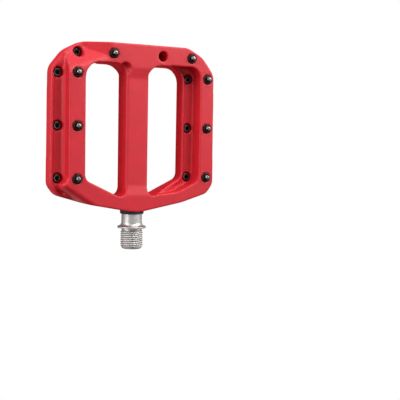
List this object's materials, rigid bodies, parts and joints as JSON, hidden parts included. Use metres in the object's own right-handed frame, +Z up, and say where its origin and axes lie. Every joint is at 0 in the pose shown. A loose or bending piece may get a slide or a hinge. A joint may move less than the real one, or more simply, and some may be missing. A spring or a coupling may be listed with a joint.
{
  "type": "bicycle flat pedal",
  "caption": "Flat bicycle pedal: a moulded nylon platform with screwed traction pins on both treads, turning on a threaded steel axle.",
  "frame": {"origin": "centre of the axle flange's face that seats on the crank arm, on the axle's centre line", "axes": "+Y along the axle, outboard, away from the crank; +Z up through the top tread; +X across the tread"},
  "size_m": [0.107, 0.1258, 0.0222],
  "materials": {
    "red_nylon": "moulded glass-filled nylon, fine satin texture",
    "satin_steel": "satin, turned",
    "pin_steel": "dark steel, burnished on its faces",
    "black_steel": "black oxide",
    "plated_steel": "zinc plated",
    "bearing_steel": "ground and polished",
    "cage_brass": "pressed",
    "bronze_bush": "sintered, dull",
    "black_rubber": "matte",
    "black_nylon": "satin",
    "white_nylon": "matte"
  },
  "bodies": {
    "axle_group": {"axle": "satin_steel", "inner_bearing_inner_race": "bearing_steel", "outer_bearing_inner_race": "bearing_steel", "axle_washer": "plated_steel", "axle_locknut": "plated_steel", "locknut_insert": "white_nylon"},
    "platform_group": {"platform_body": "red_nylon", "axle_seal": "black_rubber", "axle_bush": "bronze_bush", "inner_bearing_outer_race": "bearing_steel", "inner_bearing_shields": "bearing_steel", "outer_bearing_outer_race": "bearing_steel", "outer_bearing_shields": "bearing_steel", "end_cap": "black_nylon", "end_cap_oring": "black_rubber", "top_inner_row_screws": "pin_steel", "top_inner_row_nuts": "black_steel", "top_outer_row_screws": "pin_steel", "top_outer_row_nuts": "black_steel", "top_end_bar_screws": "pin_steel", "top_end_bar_nuts": "black_steel", "bottom_inner_row_screws": "pin_steel", "bottom_inner_row_nuts": "black_steel", "bottom_outer_row_screws": "pin_steel", "bottom_outer_row_nuts": "black_steel", "bottom_end_bar_screws": "pin_steel", "bottom_end_bar_nuts": "black_steel"},
    "inner_cage_group": {"inner_bearing_balls": "bearing_steel", "inner_bearing_cage": "cage_brass"},
    "outer_cage_group": {"outer_bearing_balls": "bearing_steel", "outer_bearing_cage": "cage_brass"}
  },
  "joints": [
    {"name": "platform_spin", "type": "hinge", "parent": "axle_group", "child": "platform_group", "pos_m": [0, 0.05, 0], "axis": [0, 1, 0], "continuous": true},
    {"name": "inner_cage_spin", "type": "hinge", "parent": "axle_group", "child": "inner_cage_group", "pos_m": [0, 0.09735, 0], "axis": [0, 1, 0], "continuous": true},
    {"name": "outer_cage_spin", "type": "hinge", "parent": "axle_group", "child": "outer_cage_group", "pos_m": [0, 0.10085, 0], "axis": [0, 1, 0], "continuous": true}
  ],
  "couplings": [
    {"joint": "inner_cage_spin", "follows": "platform_spin", "ratio": 0.56},
    {"joint": "outer_cage_spin", "follows": "platform_spin", "ratio": 0.56}
  ]
}
